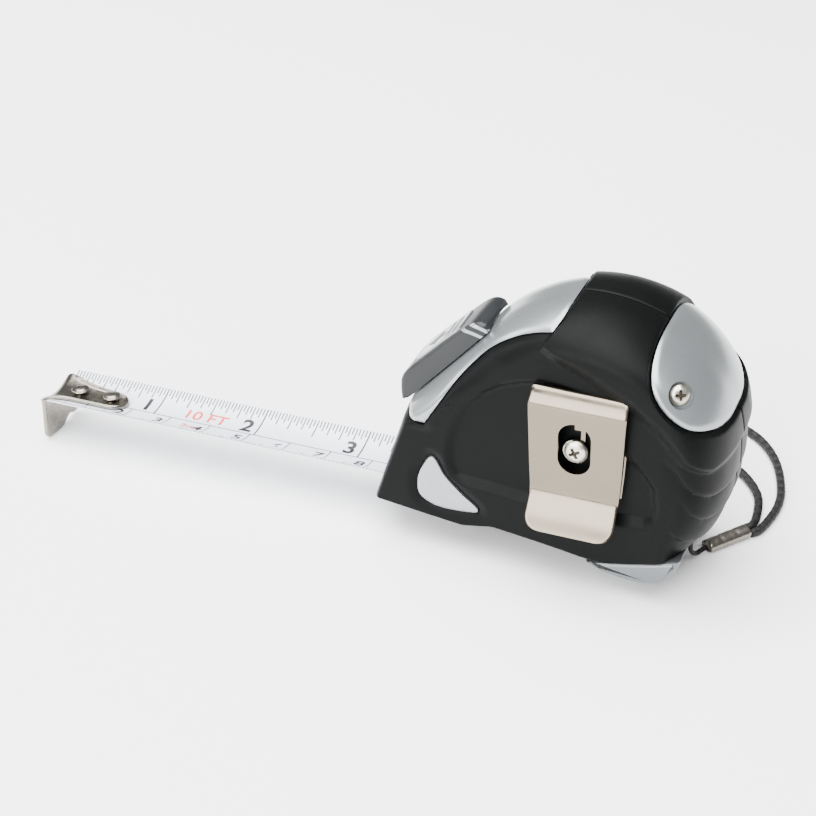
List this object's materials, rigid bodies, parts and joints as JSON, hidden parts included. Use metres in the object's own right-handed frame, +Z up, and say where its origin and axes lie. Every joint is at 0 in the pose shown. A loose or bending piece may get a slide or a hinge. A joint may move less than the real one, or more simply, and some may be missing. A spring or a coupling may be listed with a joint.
{
  "type": "tape measure",
  "caption": "Pocket tape measure in a rubber-covered round case with silver trims, slide lock, belt clip, steel blade drawn out to its end hook, and a wrist loop.",
  "frame": {"origin": "On the surface it stands on, at the middle of the small flat under the rear foot, in the middle plane of the case.", "axes": "+X runs from the end hook towards the rear of the case, along the blade; +Z is up; the belt clip is on the -Y side."},
  "size_m": [0.1674, 0.0876, 0.062],
  "materials": {
    "rubber": "satin black moulded rubber",
    "inner_plastic": "black moulded ABS",
    "silver_plastic": "ABS in satin silver lacquer",
    "button_plastic": "fine-textured black ABS",
    "drum_plastic": "natural acetal",
    "spring_steel": "blued spring steel",
    "blade_paint": "spring steel, white enamel with printed scale",
    "nickel_steel": "nickel-plated steel",
    "screw_steel": "nickel-plated cross-head screw",
    "ferrule_metal": "crimped tube",
    "cord": "black braided polyester cord"
  },
  "bodies": {
    "case": {"left_grip": "rubber", "right_grip": "rubber", "left_shell": "inner_plastic", "right_shell": "inner_plastic", "front_band": "silver_plastic", "rear_cap": "silver_plastic", "left_nose_inset": "silver_plastic", "right_nose_inset": "silver_plastic", "foot": "silver_plastic", "reel_post": "inner_plastic", "belt_clip": "nickel_steel", "clip_screw": "screw_steel", "rear_screw": "screw_steel", "strap_cord": "cord", "ferrule": "ferrule_metal", "wrist_loop": "cord"},
    "reel": {"reel_drum": "drum_plastic", "blade_coil": "blade_paint", "mainspring": "spring_steel"},
    "tape": {"blade": "blade_paint", "hook_rivet_outer": "nickel_steel", "hook_rivet_inner": "nickel_steel"},
    "hook": {"end_hook": "nickel_steel"},
    "lock": {"lock_button": "button_plastic", "lock_tongue": "inner_plastic"}
  },
  "joints": [
    {"name": "tape_slide", "type": "slide", "parent": "case", "child": "tape", "axis": [1, 0, 0], "range_m": [0, 0.0835], "deforming": ["blade"]},
    {"name": "reel_spin", "type": "hinge", "parent": "case", "child": "reel", "pos_m": [-0.0112, 0, 0.0338], "axis": [0, 1, 0], "range_deg": [-219, 0]},
    {"name": "hook_float", "type": "slide", "parent": "tape", "child": "hook", "axis": [1, 0, 0], "range_m": [-0.0003, 0.0003]},
    {"name": "lock_slide", "type": "slide", "parent": "case", "child": "lock", "axis": [0.7071, 0, 0.7071], "range_m": [0, 0.0026]}
  ],
  "couplings": [
    {"joint": "reel_spin", "follows": "tape_slide", "rad_per_m": -45.662}
  ]
}
